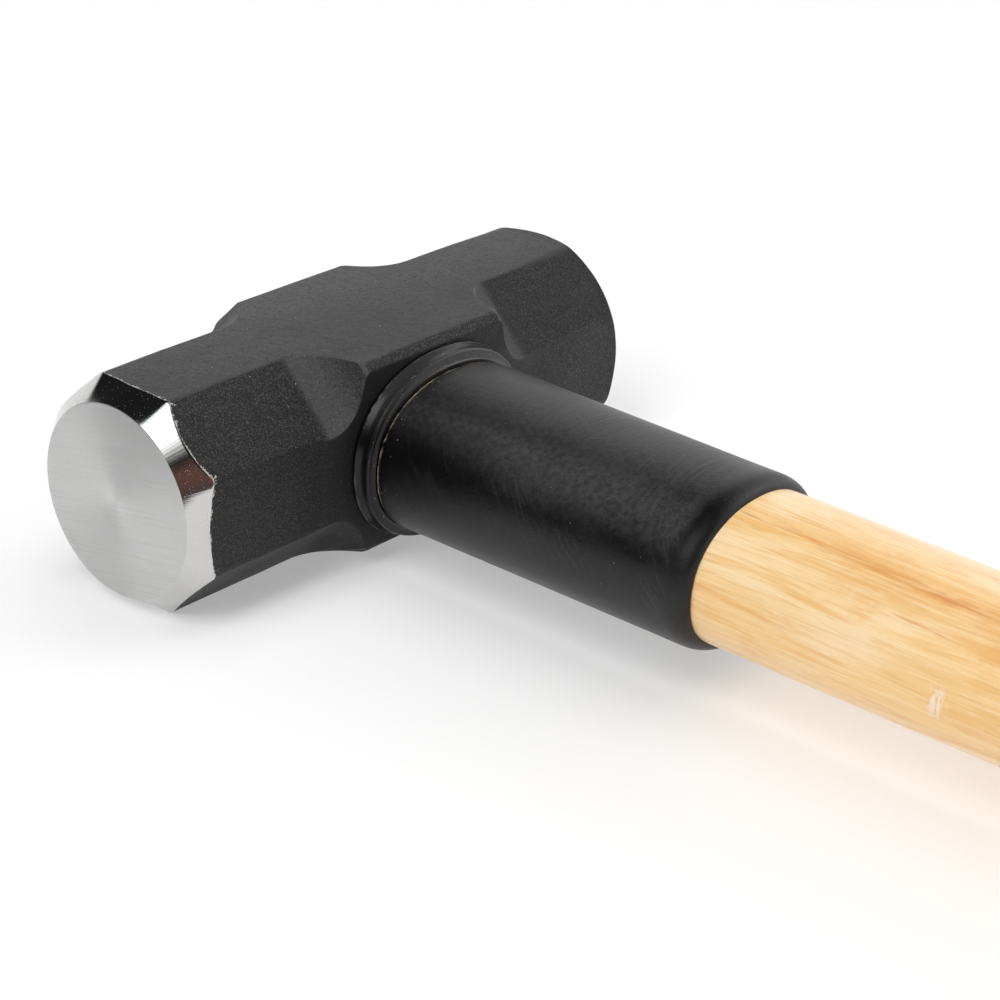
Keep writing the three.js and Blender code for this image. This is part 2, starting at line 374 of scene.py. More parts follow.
def haft_stations():
    """(y, half width, half height) of the haft, from the butt to the top of the head."""
    profile = cad_profile("handle")
    body = profile[profile[:, 0] <= SHOULDER + 0.1 * MM]
    butt_start = body[0, 0] + BUTT_ROUNDING
    smooth = []
    for y in np.linspace(butt_start, SHOULDER, 200):
        near = np.linspace(y - 12 * MM, y + 12 * MM, 7).clip(butt_start, SHOULDER)
        smooth.append([y, *(np.interp(near, body[:, 0], body[:, k]).mean() for k in (1, 2))])
    first = smooth[0]
    butt = []
    for share in np.sin(np.linspace(math.pi / 2, 0.05, 12)):
        inset = BUTT_ROUNDING * (1 - math.sqrt(1 - share**2))
        butt.append([first[0] - BUTT_ROUNDING * share, first[1] - inset, first[2] - inset])
    tongue_top = handle_high.y
    tongue = [
        [-GRIP_BACK - 2 * GAP, *(h - GAP for h in EYE_GRIP)],
        [-GRIP_BACK + 4 * MM, *(h - GAP + 0.1 * MM for h in EYE_GRIP)],
        [TOP_BACK - 4 * MM, *(h - GAP - 0.1 * MM for h in EYE_TOP)],
        [tongue_top - EDGE_BREAK, *(h - GAP for h in EYE_TOP)],
        [tongue_top, *(h - GAP - EDGE_BREAK for h in EYE_TOP)],
    ]
    return np.array(butt + smooth + tongue)


HAFT = haft_stations()


def bore_at(y):
    """Half width and height of a hole that the haft goes through."""
    return [np.interp(y, HAFT[:, 0], HAFT[:, k]) + GAP for k in (1, 2)]


def hickory_handle():
    haft = oval_loft("hickory_haft", HAFT, 128)
    for node in ("wood_wedge", "steel_wedge_1", "steel_wedge_2"):
        cut(haft, grown_wedge(node))
    shade(haft, 35)
    return haft


COLLAR_BACK = (0.53 * WIDTH, 0.438 * WIDTH)  # half sizes of the collar ring, from the head outwards
COLLAR_RIDGE = (0.512 * WIDTH, 0.425 * WIDTH)
COLLAR_LIP = (0.498 * WIDTH, 0.398 * WIDTH)


def moulded_collar():
    """A ring with a shallow channel between its back edge and its front ridge."""
    back, front = collar_high.y, collar_low.y
    ridge = front + 0.016 * WIDTH
    outside = [(back, *(h - 0.45 * MM for h in COLLAR_BACK))]
    outside.append((back - 0.12 * MM, *(h - 0.12 * MM for h in COLLAR_BACK)))
    outside.append((back - 0.4 * MM, *COLLAR_BACK))
    for share in np.linspace(0.14, 0.9, 10):
        y = back + (ridge - back) * share
        dip = 0.2 * MM * math.sin(math.pi * (share - 0.1) / 0.85) ** 2
        outside.append((y, *(b + (r - b) * share - dip for b, r in zip(COLLAR_BACK, COLLAR_RIDGE))))
    for turn in np.radians([0, 20, 40, 60, 80]):
        y = ridge + 0.35 * MM - 0.55 * MM * math.sin(turn)
        outside.append((y, *(h - 0.55 * MM * (1 - math.cos(turn)) for h in COLLAR_RIDGE)))
    outside.append((front + 0.5 * MM, *(h - 0.6 * MM for h in COLLAR_LIP)))
    outside.append((front, *(h - 1.0 * MM for h in COLLAR_LIP)))
    inside = [(y, *bore_at(y)) for y in np.linspace(front, back, 8)]
    ring = oval_ring("moulded_collar", outside + inside)
    shade(ring, 50)
    return ring


SLEEVE_START = (0.49 * WIDTH, 0.377 * WIDTH)  # half sizes of the sleeve at its two ends
SLEEVE_END = (0.474 * WIDTH, 0.364 * WIDTH)
LIP_LENGTH = 5.2 * MM  # the soft rounding at the far end
LIP_INSET = 2.7 * MM
START_ROUNDING = 2.5 * MM  # the length and the depth of the sleeve's near edge
START_INSET = 0.9 * MM
SLEEVE_HOLLOWS = 0.005  # how deep its uneven wall dips, as a share of its half size


def rubber_sleeve():
    """The sleeve, its far end drawn in softly to the haft."""
    start, end = sleeve_high.y, sleeve_low.y
    ys = [start - d * MM for d in (0, 0.15, 0.45, 0.9, 1.5, 2.2, 3.0)]
    ys += list(np.linspace(start - 5 * MM, end + LIP_LENGTH, 60))
    ys += [end + LIP_LENGTH * (1 - math.sin(turn)) for turn in np.linspace(0.1, math.pi / 2, 16)]
    outside = []
    for y in ys:
        share = (start - y) / (start - end)
        near = max(0.0, 1 - (start - y) / START_ROUNDING)
        lip = max(0.0, 1 - (y - end) / LIP_LENGTH)
        inset = START_INSET * (1 - math.sqrt(1 - near**2)) + LIP_INSET * (1 - math.sqrt(1 - lip**2))
        outside.append((y, *(a + (b - a) * share - inset for a, b in zip(SLEEVE_START, SLEEVE_END))))
    inside = [(y, *bore_at(y)) for y in np.linspace(end, start, 40)]
    sleeve = oval_ring("rubber_sleeve", outside + inside, 192)
    sunk = []
    for v in sleeve.data.vertices:
        broad = 0.5 + 0.5 * noise.noise(Vector((v.co.x * 45, v.co.y * 28, v.co.z * 45)))
        room = float(smoothstep(v.co.y, end + LIP_LENGTH / 2, end + 3 * LIP_LENGTH))
        outer = math.hypot(v.co.x / SLEEVE_START[0], (v.co.z - EYE_MIDDLE) / SLEEVE_START[1]) > 0.93
        sunk.append(SLEEVE_HOLLOWS * broad * room * outer)
    for v, depth in zip(sleeve.data.vertices, sunk):
        v.co.x *= 1 - depth
        v.co.z -= (v.co.z - EYE_MIDDLE) * depth
    shade(sleeve, 50)
    return sleeve


def driven_wedge(node, name):
    """A wedge with its edges crushed a little."""
    wedge = cad_copy(node, name)
    bevel = wedge.modifiers.new("bevel", "BEVEL")
    bevel.width = 0.25 * MM
    bevel.segments = 3
    apply_modifiers(wedge)
    shade(wedge)
    return wedge


def cad_copy(node, name):
    """A new object with a CAD node's own faces, its seams joined."""
    mesh = frame["nodes"][node].data.copy()
    shape = bmesh.new()
    shape.from_mesh(mesh)
    bmesh.ops.remove_doubles(shape, verts=shape.verts, dist=1e-6)
    bmesh.ops.dissolve_limit(shape, angle_limit=0.01, verts=shape.verts, edges=shape.edges)
    shape.to_mesh(mesh)
    shape.free()
    mesh.materials.clear()
    made = bpy.data.objects.new(name, mesh)
    bpy.context.scene.collection.objects.link(made)
    return made


def grown_wedge(node):
    """A cutter for a wedge's slot: the wedge, a little bigger all round, and past the tongue's end."""
    low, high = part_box(node)
    wedge = cad_copy(node, node + "_slot")
    middle = (low + high) / 2
    size = high - low
    for v in wedge.data.vertices:
        for k in range(3):
            v.co[k] = middle[k] + (v.co[k] - middle[k]) * (1 + 2 * GAP / size[k])
    return wedge


# ---- Materials ----------------------------------------------------------------------------


class Nodes:
    """Writes a node tree one step at a time. Each method returns the socket it makes."""

    def __init__(self, tree):
        self.tree = tree

    def node(self, kind, **settings):
        made = self.tree.nodes.new(kind)
        for key, value in settings.items():
            setattr(made, key, value)
        return made

    def put(self, socket, value):
        if isinstance(value, bpy.types.NodeSocket):
            self.tree.links.new(value, socket)
        elif isinstance(value, tuple) and len(value) == 3 and socket.type == "RGBA":
            socket.default_value = (*value, 1)
        else:
            socket.default_value = value

    def split(self, vector):
        made = self.node("ShaderNodeSeparateXYZ")
        self.put(made.inputs[0], vector)
        return made.outputs

    def join(self, x, y, z):
        made = self.node("ShaderNodeCombineXYZ")
        for socket, value in zip(made.inputs, (x, y, z)):
            self.put(socket, value)
        return made.outputs[0]

    def math(self, operation, a, b=0.0, c=0.0):
        made = self.node("ShaderNodeMath", operation=operation)
        for socket, value in zip(made.inputs, (a, b, c)):
            self.put(socket, value)
        return made.outputs[0]

    def add(self, *values):
        total = values[0]
        for value in values[1:]:
            total = self.math("ADD", total, value)
        return total

    def times(self, *values):
        product = values[0]
        for value in values[1:]:
            product = self.math("MULTIPLY", product, value)
        return product

    def vector(self, operation, a, b=(0, 0, 0)):
        made = self.node("ShaderNodeVectorMath", operation=operation)
        self.put(made.inputs[0], a)
        self.put(made.inputs[1], b)
        return made.outputs["Value" if operation in ("LENGTH", "DOT_PRODUCT") else "Vector"]

    def noise(self, vector, scale=1.0, detail=2.0, roughness=0.5, distortion=0.0):
        made = self.node("ShaderNodeTexNoise")
        self.put(made.inputs["Vector"], vector)
        for key, value in (
            ("Scale", scale),
            ("Detail", detail),
            ("Roughness", roughness),
            ("Distortion", distortion),
        ):
            self.put(made.inputs[key], value)
        return made.outputs[0]

    def ramp(self, value, low, high, start=0.0, end=1.0):
        """Goes smoothly from start to end as value goes from low to high."""
        made = self.node("ShaderNodeMapRange", interpolation_type="SMOOTHSTEP")
        for key, number in (
            ("Value", value),
            ("From Min", low),
            ("From Max", high),
            ("To Min", start),
            ("To Max", end),
        ):
            self.put(made.inputs[key], number)
        return made.outputs[0]

    def mix(self, share, a, b):
        made = self.node("ShaderNodeMix", data_type="RGBA")
        factor, first, second = made.inputs[0], made.inputs[6], made.inputs[7]
        for socket, value in ((factor, share), (first, a), (second, b)):
            self.put(socket, value)
        return made.outputs[2]

    def blend(self, share, a, b):
        made = self.node("ShaderNodeMix", data_type="FLOAT")
        factor, first, second = made.inputs[0], made.inputs[2], made.inputs[3]
        for socket, value in ((factor, share), (first, a), (second, b)):
            self.put(socket, value)
        return made.outputs[0]

    def bump(self, height, depth, normal=None):
        """depth is how far, in metres, a height of 1 stands out."""
        made = self.node("ShaderNodeBump")
        self.put(made.inputs["Strength"], 1.0)
        self.put(made.inputs["Distance"], depth)
        self.put(made.inputs["Height"], height)
        if normal is not None:
            self.put(made.inputs["Normal"], normal)
        return made.outputs[0]


class Graph(Nodes):
    """The nodes of a new material."""

    def __init__(self, name):
        self.material = bpy.data.materials.new(name)
        self.material.use_nodes = True
        super().__init__(self.material.node_tree)
        self.shader = self.tree.nodes["Principled BSDF"]
        self.place = self.node("ShaderNodeTexCoord").outputs["Object"]
        self.x, self.y, self.z = self.split(self.place)

    def stretch(self, x, y, z):
        """The object's place with each axis scaled, so that a texture of scale 1 has that many
        features to the metre on it."""
        return self.vector("MULTIPLY", self.place, (x, y, z))

    def specks(self, scale, radius, share, seed=0.0):
        """1 on small spots: scale cells to the metre, a share of which hold a spot of up to that
        many cells' radius."""
        moved = self.vector("ADD", self.place, (seed, seed * 0.7, seed * 0.3))
        made = self.node("ShaderNodeTexVoronoi")
        self.put(made.inputs["Vector"], moved)
        self.put(made.inputs["Scale"], scale)
        self.put(made.inputs["Randomness"], 1.0)
        chance, size, _ = self.split(made.outputs["Color"])
        held = self.math("LESS_THAN", chance, share)
        near = self.math("LESS_THAN", made.outputs["Distance"], self.times(size, radius))
        return self.times(held, near)

    def from_axis(self):
        """The arm from the striking axis, and its length."""
        arm = self.join(0.0, self.y, self.math("SUBTRACT", self.z, MIDDLE))
        return arm, self.vector("LENGTH", arm)

    def finish(self, **sockets):
        """Sets the shader's sockets, each named with _ for a space."""
        for name, value in sockets.items():
            self.put(self.shader.inputs[name.replace("_", " ")], value)
        return self.material


BEHIND_BEVEL = "behind_bevel"  # the head's vertices hold their distance from the bevel's back edge


def powder_coat():
    g = Graph("powder_coat")
    normal = g.split(g.node("ShaderNodeNewGeometry").outputs["Normal"])
    level = g.math("ABSOLUTE", normal[2])
    from_middle = g.math("ABSOLUTE", g.x)
    lean = g.math("ABSOLUTE", normal[0])
    # Painted light: the scoops by the boss are painted lighter where they catch the light, with fewer
    # dark grains.
    slope = g.times(g.ramp(lean, 0.03, 0.20), g.ramp(lean, 1.3, 0.45))
    by_the_boss = g.ramp(from_middle, 0.72 * WIDTH, 0.66 * WIDTH)
    scoop_painted_light = g.times(slope, g.ramp(normal[2], -0.1, 0.3), by_the_boss)
    grain = g.ramp(level, 0.96, 0.80)  # fine on the side flats, sandy elsewhere
    sand = g.noise(g.place, 3000, 2, 0.65)
    fine = g.noise(g.place, 1300, 2, 0.6)
    coarse = g.noise(g.place, 420, 3, 0.6)
    cloud = g.ramp(g.noise(g.stretch(34, 62, 50), 1, 5, 0.66, 0.6), 0.36, 0.64)
    back = g.ramp(g.y, -0.25 * WIDTH, 0.40 * WIDTH)  # dustier away from the grip
    dusty = g.add(g.times(cloud, 0.58), g.times(back, 0.52))
    smooth = g.mix(dusty, (0.006, 0.006, 0.0062), (0.062, 0.0617, 0.0614))
    sandy = g.mix(cloud, (0.0045, 0.0045, 0.0047), (0.0095, 0.0095, 0.0094))
    base = g.mix(grain, smooth, sandy)
    base = g.mix(g.times(scoop_painted_light, 0.8), base, (0.068, 0.0675, 0.067))
    lighter = g.ramp(sand, 0.52, 0.64)
    base = g.mix(g.times(lighter, g.blend(grain, 0.26, 0.58)), base, (0.125, 0.124, 0.122))
    darker = g.ramp(fine, 0.47, 0.36)
    base = g.mix(g.times(darker, g.blend(scoop_painted_light, 0.7, 0.3)), base, (0.003, 0.003, 0.003))
    # Painted shade round the collar on the grip side, and towards the far end, where the sleeve shades
    # the coat.
    facing = g.times(g.ramp(normal[1], -0.3, -0.6), g.ramp(normal[2], 0.45, 0.2))
    grip_side_shade = g.times(facing, g.ramp(from_middle, 0.95 * WIDTH, 0.45 * WIDTH))
    far_end_shade = g.times(g.ramp(g.x, 0.3 * WIDTH, 0.7 * WIDTH), g.ramp(normal[1], -0.95, -0.8), grain)
    sleeve_shade = g.add(g.times(grip_side_shade, 0.94), g.times(far_end_shade, 0.30))
    base = g.mix(sleeve_shade, base, (0.0020, 0.0020, 0.0020))
    base = g.mix(g.specks(700, 0.13, 0.10), base, (0.34, 0.30, 0.25))
    base = g.mix(g.specks(2300, 0.26, g.blend(grain, 0.04, 0.16), 2.3), base, (0.12, 0.118, 0.115))
    relief = g.bump(sand, g.blend(grain, 0.00004, 0.00027))
    relief = g.bump(coarse, g.blend(grain, 0.00010, 0.00026), relief)
    # The turned bevel has chipped the coating's edge, most at the corners.
    behind = g.node("ShaderNodeAttribute", attribute_name=BEHIND_BEVEL).outputs["Fac"]
    corner = g.ramp(g.from_axis()[1], 0.515 * WIDTH, 0.545 * WIDTH)
    ragged = g.ramp(g.noise(g.place, 1100, 3, 0.7), 0.45, 0.7)
    chips = g.ramp(g.noise(g.place, 620, 3, 0.7), 0.52, 0.7)
    reach = g.add(0.00018, g.times(ragged, 0.0005), g.times(chips, g.add(corner, 0.4), 0.0015))
    worn_end = g.blend(g.math("LESS_THAN", g.x, 0.0), 0.12, 1.0)
    bare = g.math("LESS_THAN", behind, g.times(reach, worn_end))
    base = g.mix(bare, base, (0.60, 0.59, 0.58))
    rough = g.add(g.blend(grain, 0.41, 0.50), g.times(cloud, 0.10))
    return g.finish(
        Base_Color=base,
        Roughness=g.blend(bare, rough, 0.28),
        Metallic=bare,
        Normal=relief,
        IOR=1.5,
        Specular_IOR_Level=0.36,
    )


def bevel_steel():
    g = Graph("turned_bevel")
    arm, radius = g.from_axis()
    lines = g.noise(g.join(radius, 0.0, 0.0), 2600, 2, 0.6)
    smear = g.noise(g.place, 160, 3, 0.6)
    outward = g.vector("NORMALIZE", arm)
    streak = g.noise(outward, 75, 2, 0.6)
    hair = g.noise(outward, 210, 2, 0.6)
    pits = g.specks(1100, 0.13, 0.06, 3.1)
    rubbed = g.ramp(g.noise(g.place, 120, 3, 0.6), 0.44, 0.64, 0.03, 0.45)
    glints = g.specks(2700, 0.36, rubbed, 6.7)
    base = g.mix(smear, (0.56, 0.555, 0.55), (0.62, 0.615, 0.61))
    base = g.mix(pits, base, (0.30, 0.28, 0.26))
    relief = g.bump(lines, 0.0000010)
    relief = g.bump(streak, 0.000016, relief)
    relief = g.bump(hair, 0.000006, relief)
    relief = g.bump(g.noise(g.place, 220, 2, 0.5), 0.000007, relief)
    rough = g.add(g.times(smear, 0.08), g.times(streak, 0.06), 0.06)
    rough = g.blend(g.math("MAXIMUM", pits, glints), rough, 0.62)
    return g.finish(Base_Color=base, Metallic=1.0, Roughness=rough, Normal=relief)


SHADED_SECTOR_AXIS = (-math.sin(math.radians(15)), math.cos(math.radians(15)))  # the y and z of the sectors painted in shade


def disc_steel():
    g = Graph("turned_face")
    arm, radius = g.from_axis()
    lines = g.noise(g.join(radius, 0.0, 0.0), 3800, 2, 0.6)
    broad = g.noise(g.join(radius, 0.0, 0.0), 260, 2, 0.5)
    smear = g.noise(g.place, 90, 3, 0.6)
    base = g.mix(smear, (0.525, 0.523, 0.52), (0.62, 0.618, 0.615))
    base = g.mix(g.times(g.ramp(lines, 0.40, 0.64), 0.8), base, (0.63, 0.628, 0.625))
    # Painted shade: the face is painted darker in one pair of opposite sectors, where its turning's
    # reflection darkens, and towards the top.
    outward = g.split(g.vector("NORMALIZE", arm))
    along_shaded_axis = g.add(g.times(outward[1], SHADED_SECTOR_AXIS[0]), g.times(outward[2], SHADED_SECTOR_AXIS[1]))
    sector = g.ramp(g.times(along_shaded_axis, along_shaded_axis), 0.55, 1.0)
    upward = g.ramp(g.z, MIDDLE - FACE_RADIUS, MIDDLE + FACE_RADIUS)
    painted_sector_shade = g.times(g.add(g.times(sector, 0.30), g.times(upward, 0.90)), g.ramp(radius, 0.0, 0.008))
    base = g.mix(g.times(painted_sector_shade, 0.5), base, (0.42, 0.419, 0.417))
    # Light scratches, each set in its own direction.
    along = g.add(g.times(g.y, 0.98), g.times(g.z, -0.20))
    across = g.add(g.times(g.y, 0.20), g.times(g.z, 0.98))
    first = g.noise(g.join(g.times(along, 30), g.times(across, 3000), 0.0), 1, 2, 0.5, 0.3)
    second = g.noise(g.join(g.times(g.z, 70), g.times(g.y, 2300), 4.0), 1, 2, 0.5, 0.3)
    scratch = g.math("MAXIMUM", g.ramp(first, 0.50, 0.72), g.ramp(second, 0.66, 0.76))
    base = g.mix(g.times(scratch, 0.30), base, (0.42, 0.42, 0.42))
    base = g.mix(g.specks(700, 0.20, 0.22, 1.7), base, (0.20, 0.19, 0.18))
    relief = g.bump(lines, 0.0000016)
    rough = g.add(0.27, g.times(broad, 0.08), g.times(scratch, 0.06))
    return g.finish(
        Base_Color=base,
        Metallic=1.0,
        Roughness=rough,
        Normal=relief,
        Anisotropic=0.75,
        Tangent=arm,
    )


def streak_mask(g, x, at, slope, width, near, far, fade):
    """1 on a line along the haft's upper side, which drifts sideways by slope. In millimetres: it
    passes x at a distance of at beyond the sleeve's end, and fades in before near and out after far."""
    x, width, fade = x * MM, width * MM, fade * MM
    at, near, far = (sleeve_low.y - beyond * MM for beyond in (at, near, far))
    wander = g.times(g.math("SUBTRACT", g.noise(g.stretch(80, 80, 80), 1, 3, 0.6), 0.5), width * 3)
    line = g.add(x - slope * at, g.times(g.y, slope), wander)
    off = g.math("ABSOLUTE", g.math("SUBTRACT", g.x, line))
    ends = g.times(g.ramp(g.y, near + fade, near), g.ramp(g.y, far - fade, far))
    upper = g.ramp(g.z, EYE_MIDDLE, EYE_MIDDLE + 6 * MM)
    frayed = g.ramp(g.noise(g.stretch(900, 60, 900), 1, 3, 0.6), 0.36, 0.60, 0.25, 1.0)
    return g.times(g.ramp(off, width, 0.0), ends, upper, frayed)


def hickory():
    g = Graph("varnished_hickory")
    # Growth rings: sheets along the haft, bent by a slow drift and a finer waver.
    drift = g.noise(g.stretch(26, 4.5, 26), 1, 2, 0.5)
    waver = g.noise(g.stretch(110, 26, 110), 1, 2, 0.5)
    across = g.add(g.times(g.z, 0.8), g.times(g.x, 0.6), g.times(g.y, 0.04))
    across = g.add(across, g.times(drift, 0.030), g.times(waver, 0.0022))
    sheet = g.join(across, g.times(g.y, 0.06), 0.0)
    rings = g.noise(sheet, 300, 3, 0.6)
    broad = g.noise(sheet, 70, 2, 0.5)
    mottle = g.noise(g.stretch(70, 28, 70), 1, 3, 0.55)
    fibre = g.noise(g.stretch(1500, 40, 1500), 1, 3, 0.6)
    base = g.mix(g.ramp(broad, 0.36, 0.64), (0.935, 0.70, 0.40), (0.90, 0.58, 0.25))
    base = g.mix(g.times(g.ramp(mottle, 0.48, 0.70), 0.6), base, (0.955, 0.76, 0.49))
    base = g.mix(g.times(g.ramp(rings, 0.50, 0.66), 0.62), base, (0.82, 0.45, 0.14))
    lines = g.noise(sheet, 950, 2, 0.6)
    base = g.mix(g.times(g.ramp(lines, 0.54, 0.66), 0.4), base, (0.80, 0.44, 0.14))
    base = g.mix(g.times(g.ramp(fibre, 0.50, 0.68), 0.5), base, (0.97, 0.77, 0.49))
    base = g.mix(g.times(g.ramp(fibre, 0.46, 0.34), 0.35), base, (0.80, 0.47, 0.17))
    dark_grain = g.noise(g.stretch(190, 12, 190), 1, 3, 0.6, 0.8)
    base = g.mix(g.times(g.ramp(dark_grain, 0.56, 0.78), 0.6), base, (0.74, 0.34, 0.085))
    pores = g.noise(g.stretch(2400, 120, 2400), 1, 2, 0.5)
    base = g.mix(g.times(g.ramp(pores, 0.62, 0.74), 0.35), base, (0.66, 0.34, 0.11))
    # The figure beyond the sleeve: an orange cloud round a long streak, and two finer lines.
    cloud = streak_mask(g, -10, 60, 0.03, 11, near=40, far=75, fade=24)
    base = g.mix(g.times(cloud, 0.6), base, (0.80, 0.40, 0.11))
    long = streak_mask(g, -7.4, 0, 0.034, 2.0, near=20, far=76, fade=16)
    base = g.mix(g.times(long, 0.55), base, (0.66, 0.27, 0.06))
    dark = streak_mask(g, -7.9, 48, 0.07, 1.5, near=51, far=62, fade=9)
    base = g.mix(g.times(dark, 0.6), base, (0.60, 0.19, 0.035))
    check = streak_mask(g, -7.4, 0, 0.09, 0.55, near=-2, far=1, fade=8)
    base = g.mix(g.times(check, 0.9), base, (0.42, 0.10, 0.015))
    fine = streak_mask(g, -17.1, 49, 0.03, 0.4, near=52, far=60, fade=5)
    base = g.mix(g.times(fine, 0.8), base, (0.66, 0.25, 0.06))
    # A rubbed patch, low on the side.
    rubbed = g.vector("SUBTRACT", g.place, (handle_low.x, sleeve_low.y - 65 * MM, EYE_MIDDLE))
    rubbed = g.vector("LENGTH", g.vector("MULTIPLY", rubbed, (1.0, 1.3, 0.8)))
    strokes = g.ramp(g.noise(g.stretch(200, 900, 200), 1, 2, 0.6), 0.42, 0.58)
    base = g.mix(g.times(g.ramp(rubbed, 4.5 * MM, 1 * MM), strokes, 0.55), base, (0.95, 0.90, 0.84))
    relief = g.bump(fibre, 0.00002)
    relief = g.bump(g.noise(g.stretch(60, 8, 60), 1, 2, 0.5), 0.0002, relief)
    return g.finish(
        Base_Color=base,
        Roughness=g.add(0.34, g.times(fibre, 0.12)),
        Normal=relief,
        Coat_Weight=0.4,
        Coat_Roughness=0.2,
        IOR=1.5,
    )


def end_grain():
    g = Graph("end_grain")
    slanted = g.add(g.z, g.times(g.x, 0.4), g.times(g.noise(g.place, 60, 2, 0.5), 0.006))
    rings = g.noise(g.join(slanted, 0.0, 0.0), 420, 2, 0.5)
    pores = g.noise(g.stretch(2400, 300, 2400), 1, 2, 0.6)
    base = g.mix(g.ramp(rings, 0.4, 0.7), (0.66, 0.46, 0.24), (0.47, 0.27, 0.11))
    base = g.mix(g.times(g.ramp(pores, 0.55, 0.7), 0.7), base, (0.20, 0.10, 0.04))
    return g.finish(Base_Color=base, Roughness=0.62, Normal=g.bump(pores, 0.00008))


def loose_dust(g, base, edge, spread):
    """Mixes pale specks over a rubber, thinning out from that y."""
    off = g.math("ABSOLUTE", g.math("SUBTRACT", g.y, edge))
    loose = g.specks(1500, 0.26, g.ramp(off, spread, 0.0, 0.0, 0.30), 4.4)
    return g.mix(loose, base, (0.24, 0.20, 0.15))


def collar_rubber():
    g = Graph("collar_rubber")
    cloud = g.noise(g.place, 120, 3, 0.6)
    base = g.mix(cloud, (0.0012, 0.0012, 0.0013), (0.0040, 0.0040, 0.0040))
    # Painted light: the upper side of the ring is painted lighter.
    upper = g.ramp(g.z, EYE_MIDDLE + 8 * MM, EYE_MIDDLE + 22 * MM)
    base = g.mix(g.times(upper, 0.7), base, (0.034, 0.034, 0.034))
    # The back edge: a broken lighter line, partly wear and dust, partly a painted highlight on its
    # rounding.
    edge_wear_and_highlight = g.ramp(g.y, collar_high.y - 0.9 * MM, collar_high.y - 0.4 * MM)
    broken = g.ramp(g.noise(g.place, 240, 4, 0.7), 0.46, 0.60)
    base = g.mix(g.times(edge_wear_and_highlight, broken, 0.45), base, (0.16, 0.15, 0.14))
    base = loose_dust(g, base, collar_low.y, 4 * MM)
    relief = g.bump(g.noise(g.place, 900, 2, 0.6), 0.00003)
    rough = g.add(0.22, g.times(cloud, 0.10))
    return g.finish(Base_Color=base, Roughness=rough, Normal=relief, Specular_IOR_Level=0.36)


def sleeve_rubber():
    g = Graph("sleeve_rubber")
    cloud = g.ramp(g.noise(g.stretch(34, 20, 34), 1, 3, 0.55, 0.4), 0.34, 0.66)
    mottle = g.noise(g.place, 620, 4, 0.65)
    patchy = g.ramp(mottle, 0.32, 0.68)
    haze = g.add(g.times(cloud, 0.7), g.times(patchy, 0.3))
    # Painted shade by the collar: the haze, the strokes and the painted top light thin out towards it.
    clear_of_collar_shade = g.ramp(g.y, sleeve_high.y - 8 * MM, sleeve_high.y - 50 * MM)
    dulled = g.times(haze, g.blend(clear_of_collar_shade, 0.2, 1.0))
    base = g.mix(dulled, (0.0006, 0.0006, 0.0007), (0.0090, 0.0090, 0.0090))
    # A grey painted top light, mottled like a bloom, thickest on top, that reaches further down away
    # from the collar's painted shade.
    lip = g.ramp(g.y, sleeve_low.y + 8 * MM, sleeve_low.y + 4 * MM)
    height = g.add(g.z, g.times(clear_of_collar_shade, 4 * MM))
    shoulder = g.ramp(height, EYE_MIDDLE + 10 * MM, EYE_MIDDLE + 22 * MM)
    crest = g.ramp(g.z, EYE_MIDDLE + 16.5 * MM, EYE_MIDDLE + 19.5 * MM, 1.35, 0.55)
    painted_top_light = g.times(shoulder, crest, g.add(0.35, g.times(patchy, 0.45), g.times(cloud, 0.2)))
    base = g.mix(g.times(painted_top_light, g.blend(lip, 0.75, 0.0)), base, (0.060, 0.060, 0.060))
    # Oblique strokes, as of a brush.
    slanted = g.add(g.times(g.z, 0.75), g.times(g.y, 0.66))
    across = g.add(g.times(g.y, 0.75), g.times(g.z, -0.66))
    strokes = g.join(g.times(across, 1100), g.times(slanted, 130), g.times(g.x, 60))
    strokes = g.noise(strokes, 1, 3, 0.55)
    brushed = g.ramp(g.noise(g.place, 32, 2, 0.5), 0.42, 0.60)
    brushed = g.times(brushed, g.blend(lip, 1.0, 0.0), g.blend(clear_of_collar_shade, 0.2, 1.0))
    base = g.mix(g.times(g.ramp(strokes, 0.52, 0.62), brushed, 0.6), base, (0.034, 0.034, 0.034))
    base = g.mix(g.specks(900, 0.16, 0.05, 5.3), base, (0.12, 0.11, 0.10))
    # Dust in the crevice behind the collar ring, in a thin broken line.
    crevice = g.ramp(g.y, sleeve_high.y - 1.3 * MM, sleeve_high.y - 0.7 * MM)
    broken = g.ramp(g.noise(g.place, 260, 4, 0.7), 0.42, 0.56)
    crumbs = g.ramp(g.noise(g.place, 2400, 2, 0.6), 0.44, 0.60, 0.3, 1.0)
    base = g.mix(g.times(crevice, broken, crumbs), base, (0.36, 0.30, 0.22))
    base = loose_dust(g, base, sleeve_high.y, 8 * MM)
    relief = g.bump(strokes, g.blend(brushed, 0.000005, 0.00014))
    relief = g.bump(g.noise(g.place, 2100, 3, 0.7), 0.00009, relief)
    relief = g.bump(mottle, 0.00004, relief)
    rough = g.add(g.blend(haze, 0.32, 0.40), g.times(strokes, brushed, 0.08), g.times(lip, 0.03))
    return g.finish(Base_Color=base, Roughness=rough, Normal=relief, Specular_IOR_Level=0.40)


def wedge_wood():
    g = Graph("wedge_wood")
    fibre = g.noise(g.stretch(1400, 60, 1400), 1, 3, 0.6)
    stain = g.noise(g.place, 140, 3, 0.6)
    base = g.mix(fibre, (0.52, 0.34, 0.17), (0.34, 0.19, 0.08))
    base = g.mix(g.times(g.ramp(stain, 0.5, 0.7), 0.5), base, (0.25, 0.15, 0.07))
    return g.finish(Base_Color=base, Roughness=0.65, Normal=g.bump(fibre, 0.0001))


